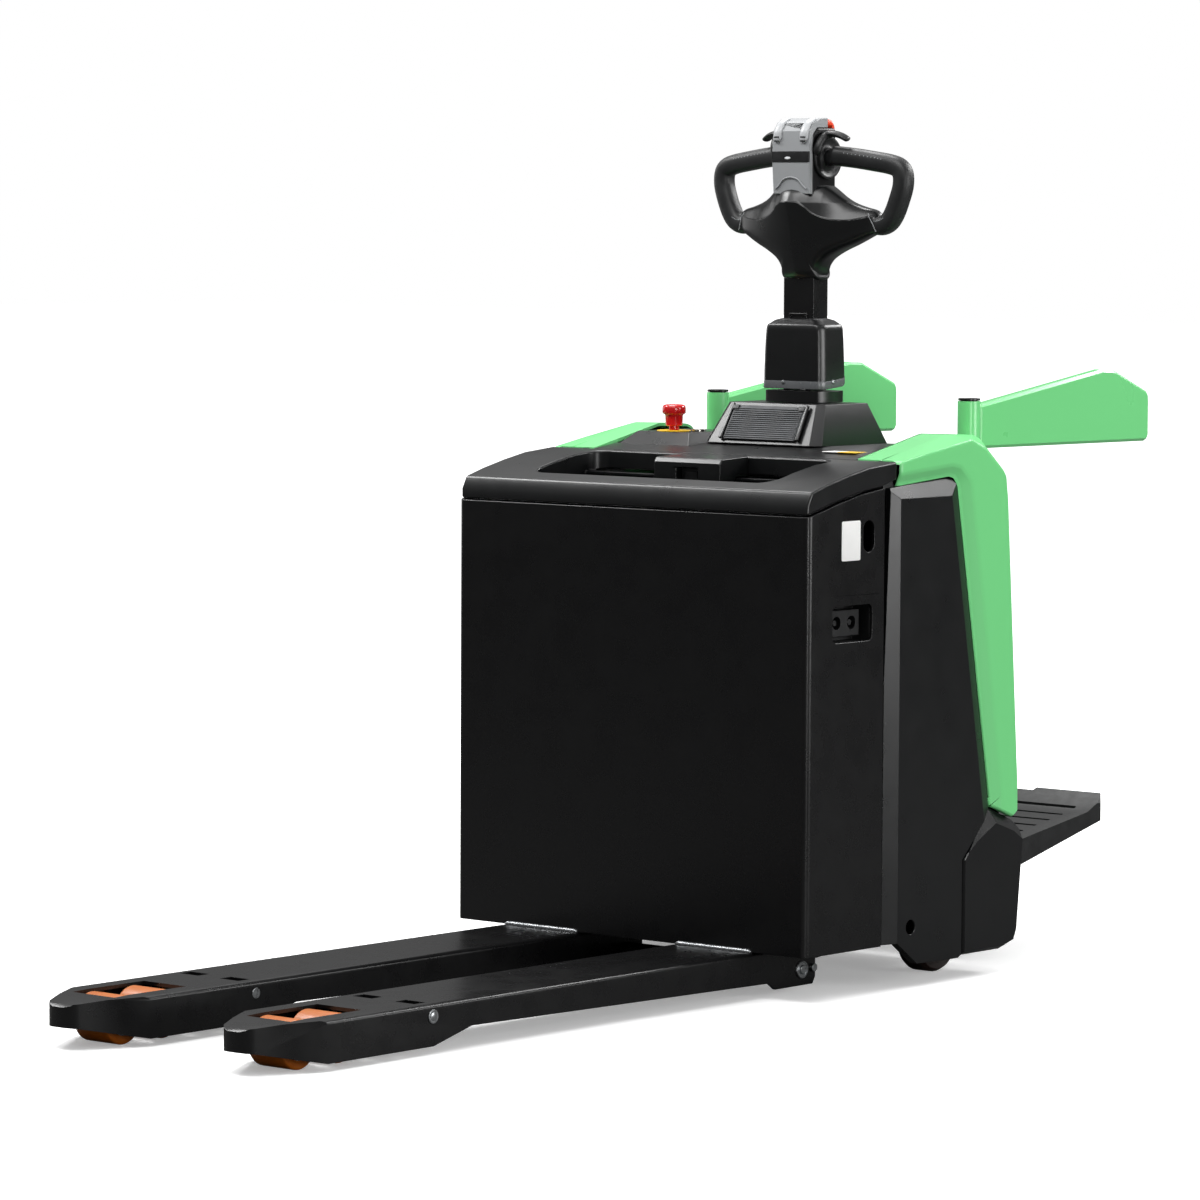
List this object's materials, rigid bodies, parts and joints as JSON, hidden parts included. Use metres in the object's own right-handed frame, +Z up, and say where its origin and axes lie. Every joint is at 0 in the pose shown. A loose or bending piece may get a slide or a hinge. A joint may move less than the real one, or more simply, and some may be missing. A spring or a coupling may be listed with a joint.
{
  "type": "electric rider pallet truck",
  "caption": "Electric rider pallet truck with a battery box and tray, a fold-down platform, swinging side arms, a tiller with loop handles, and forks on tandem load rollers.",
  "frame": {"origin": "on the floor, under the middle of the truck's length and width, with the forks lowered", "axes": "-Y along the forks to their tips, +Y to the operator's platform, +X to the right when looking along +Y from the fork tips, which is what left and right mean in the names, +Z up"},
  "size_m": [0.77, 2.248, 1.469],
  "materials": {
    "black_paint": "fine-textured powder coat",
    "black_plastic": "fine-grained moulding",
    "green_paint": "smooth gloss enamel",
    "grey_plastic": "satin moulding",
    "grille_plastic": "satin moulding",
    "bare_steel": "zinc-plated",
    "ram_chrome": "polished",
    "roller_tread": "cast polyurethane, semi-gloss",
    "drive_tread": "dark polyurethane, worn matte",
    "cast_housing": "as cast, clear coat",
    "alloy": "as cast",
    "pack_case": "plain",
    "dark_plastic": "satin moulding",
    "red_plastic": "glossy",
    "yellow_plastic": "satin",
    "orange_rubber": "soft-touch",
    "step_mat": "coated steel with a rubber mat",
    "nickel": "nickel-plated"
  },
  "bodies": {
    "chassis": {"chassis_frame": "black_paint", "rocker_lugs": "black_paint", "left_side_cover": "black_plastic", "right_side_cover": "black_plastic", "left_green_frame": "green_paint", "right_green_frame": "green_paint", "left_bumper": "black_plastic", "right_bumper": "black_plastic", "deck_cover": "black_plastic", "pod_cover": "black_plastic", "pod_grille": "grille_plastic", "rear_panel": "black_plastic", "estop_base": "yellow_plastic", "lift_cylinder": "alloy", "power_units": "alloy", "slew_bearing": "bare_steel", "arm_posts": "black_paint"},
    "lift_carriage": {"left_fork": "black_paint", "right_fork": "black_paint", "battery_box": "black_paint", "battery_pack": "pack_case", "charge_socket": "dark_plastic", "tray_lid": "black_plastic", "tray_block": "black_plastic", "lift_bracket": "black_paint", "lift_ram": "ram_chrome", "arm_axles": "bare_steel"},
    "left_roller_arm": {"left_roller_arm": "black_paint"},
    "right_roller_arm": {"right_roller_arm": "black_paint"},
    "left_bogie": {"left_bogie": "bare_steel"},
    "right_bogie": {"right_bogie": "bare_steel"},
    "left_front_roller": {"left_front_roller": "roller_tread"},
    "left_rear_roller": {"left_rear_roller": "roller_tread"},
    "right_front_roller": {"right_front_roller": "roller_tread"},
    "right_rear_roller": {"right_rear_roller": "roller_tread"},
    "pull_rods": {"pull_rods": "bare_steel"},
    "lift_rocker": {"lift_rocker": "black_paint"},
    "steering": {"gearbox": "cast_housing", "drive_motor": "bare_steel", "steering_shaft": "bare_steel", "tiller_base": "dark_plastic"},
    "drive_wheel": {"drive_wheel": "drive_tread"},
    "left_caster": {"left_caster_fork": "bare_steel"},
    "right_caster": {"right_caster_fork": "bare_steel"},
    "left_caster_wheel": {"left_caster_wheel": "roller_tread"},
    "right_caster_wheel": {"right_caster_wheel": "roller_tread"},
    "left_arm": {"left_arm": "green_paint"},
    "right_arm": {"right_arm": "green_paint"},
    "platform": {"platform": "step_mat"},
    "tiller": {"tiller_cover": "black_plastic", "tiller_stem": "black_paint", "head_shell": "black_plastic", "handles": "black_plastic", "console": "grey_plastic"},
    "left_rocker_button": {"left_rocker_button": "grey_plastic"},
    "right_rocker_button": {"right_rocker_button": "grey_plastic"},
    "throttle": {"throttle": "dark_plastic"},
    "belly_button": {"belly_button": "orange_rubber"},
    "estop_knob": {"estop_knob": "red_plastic"},
    "key_switch": {"key_switch": "nickel"}
  },
  "joints": [
    {"name": "lift", "type": "slide", "parent": "chassis", "child": "lift_carriage", "axis": [0, 0, 1], "range_m": [0, 0.12]},
    {"name": "left_roller_arm_swing", "type": "hinge", "parent": "lift_carriage", "child": "left_roller_arm", "pos_m": [-0.19, -0.766, 0.06], "axis": [1, 0, 0], "range_deg": [0, 37.33]},
    {"name": "left_bogie_rock", "type": "hinge", "parent": "left_roller_arm", "child": "left_bogie", "pos_m": [-0.19, -0.971, 0.039], "axis": [1, 0, 0], "range_deg": [-37.33, 0]},
    {"name": "left_front_roller_spin", "type": "hinge", "parent": "left_bogie", "child": "left_front_roller", "pos_m": [-0.19, -1.016, 0.039], "axis": [1, 0, 0], "continuous": true},
    {"name": "left_rear_roller_spin", "type": "hinge", "parent": "left_bogie", "child": "left_rear_roller", "pos_m": [-0.19, -0.926, 0.039], "axis": [1, 0, 0], "continuous": true},
    {"name": "right_roller_arm_swing", "type": "hinge", "parent": "lift_carriage", "child": "right_roller_arm", "pos_m": [0.19, -0.766, 0.06], "axis": [1, 0, 0], "range_deg": [0, 37.33]},
    {"name": "right_bogie_rock", "type": "hinge", "parent": "right_roller_arm", "child": "right_bogie", "pos_m": [0.19, -0.971, 0.039], "axis": [1, 0, 0], "range_deg": [-37.33, 0]},
    {"name": "right_front_roller_spin", "type": "hinge", "parent": "right_bogie", "child": "right_front_roller", "pos_m": [0.19, -1.016, 0.039], "axis": [1, 0, 0], "continuous": true},
    {"name": "right_rear_roller_spin", "type": "hinge", "parent": "right_bogie", "child": "right_rear_roller", "pos_m": [0.19, -0.926, 0.039], "axis": [1, 0, 0], "continuous": true},
    {"name": "pull_rods_slide", "type": "slide", "parent": "lift_carriage", "child": "pull_rods", "axis": [0, 1, 0], "range_m": [0, 0.01664]},
    {"name": "lift_rocker_swing", "type": "hinge", "parent": "lift_carriage", "child": "lift_rocker", "pos_m": [0, 0.156, 0.039], "axis": [-1, 0, 0], "range_deg": [0, 34.91]},
    {"name": "steer", "type": "hinge", "parent": "chassis", "child": "steering", "pos_m": [0, 0.501, 0.3], "axis": [0, 0, 1], "range_deg": [-90, 90]},
    {"name": "drive_wheel_spin", "type": "hinge", "parent": "steering", "child": "drive_wheel", "pos_m": [0, 0.501, 0.115], "axis": [1, 0, 0], "continuous": true},
    {"name": "left_caster_swivel", "type": "hinge", "parent": "chassis", "child": "left_caster", "pos_m": [-0.268, 0.481, 0.14], "axis": [0, 0, 1], "continuous": true},
    {"name": "left_caster_wheel_spin", "type": "hinge", "parent": "left_caster", "child": "left_caster_wheel", "pos_m": [-0.268, 0.513, 0.0575], "axis": [1, 0, 0], "continuous": true},
    {"name": "right_caster_swivel", "type": "hinge", "parent": "chassis", "child": "right_caster", "pos_m": [0.268, 0.481, 0.14], "axis": [0, 0, 1], "continuous": true},
    {"name": "right_caster_wheel_spin", "type": "hinge", "parent": "right_caster", "child": "right_caster_wheel", "pos_m": [0.268, 0.513, 0.0575], "axis": [1, 0, 0], "continuous": true},
    {"name": "left_arm_fold", "type": "hinge", "parent": "chassis", "child": "left_arm", "pos_m": [-0.28, 0.604, 0.94], "axis": [0, 0, -1], "range_deg": [0, 45]},
    {"name": "right_arm_fold", "type": "hinge", "parent": "chassis", "child": "right_arm", "pos_m": [0.28, 0.604, 0.94], "axis": [0, 0, 1], "range_deg": [0, 90]},
    {"name": "platform_fold", "type": "hinge", "parent": "chassis", "child": "platform", "pos_m": [0, 0.66, 0.165], "axis": [1, 0, 0], "range_deg": [0, 76]},
    {"name": "tiller_tilt", "type": "hinge", "parent": "steering", "child": "tiller", "pos_m": [0, 0.501, 1.06], "axis": [-1, 0, 0], "range_deg": [0, 70], "stiffness_Nm_per_rad": 22, "springref_deg": -17.19},
    {"name": "left_rocker_button_press", "type": "slide", "parent": "tiller", "child": "left_rocker_button", "axis": [0, 0.8064, -0.5914], "range_m": [0, 0.002], "stiffness_N_per_m": 500, "springref_m": -0.002},
    {"name": "right_rocker_button_press", "type": "slide", "parent": "tiller", "child": "right_rocker_button", "axis": [0, 0.8064, -0.5914], "range_m": [0, 0.002], "stiffness_N_per_m": 500, "springref_m": -0.002},
    {"name": "throttle_turn", "type": "hinge", "parent": "tiller", "child": "throttle", "pos_m": [0, 0.505, 1.4], "axis": [1, 0, 0], "range_deg": [-25, 25], "stiffness_Nm_per_rad": 1.5},
    {"name": "belly_button_press", "type": "slide", "parent": "tiller", "child": "belly_button", "axis": [0, -1, 0], "range_m": [0, 0.006], "stiffness_N_per_m": 800, "springref_m": -0.004},
    {"name": "estop_press", "type": "slide", "parent": "chassis", "child": "estop_knob", "axis": [0, 0, -1], "range_m": [0, 0.006]},
    {"name": "key_turn", "type": "hinge", "parent": "chassis", "child": "key_switch", "pos_m": [-0.168, 0.414, 0.921], "axis": [0, 0, -1], "range_deg": [0, 90]}
  ],
  "couplings": [
    {"joint": "left_roller_arm_swing", "follows": "lift", "rad_per_m": 5.4288},
    {"joint": "left_bogie_rock", "follows": "lift", "rad_per_m": -5.4288},
    {"joint": "right_roller_arm_swing", "follows": "lift", "rad_per_m": 5.4288},
    {"joint": "right_bogie_rock", "follows": "lift", "rad_per_m": -5.4288},
    {"joint": "pull_rods_slide", "follows": "lift", "ratio": 0.13867},
    {"joint": "lift_rocker_swing", "follows": "lift", "rad_per_m": 5.0782}
  ]
}
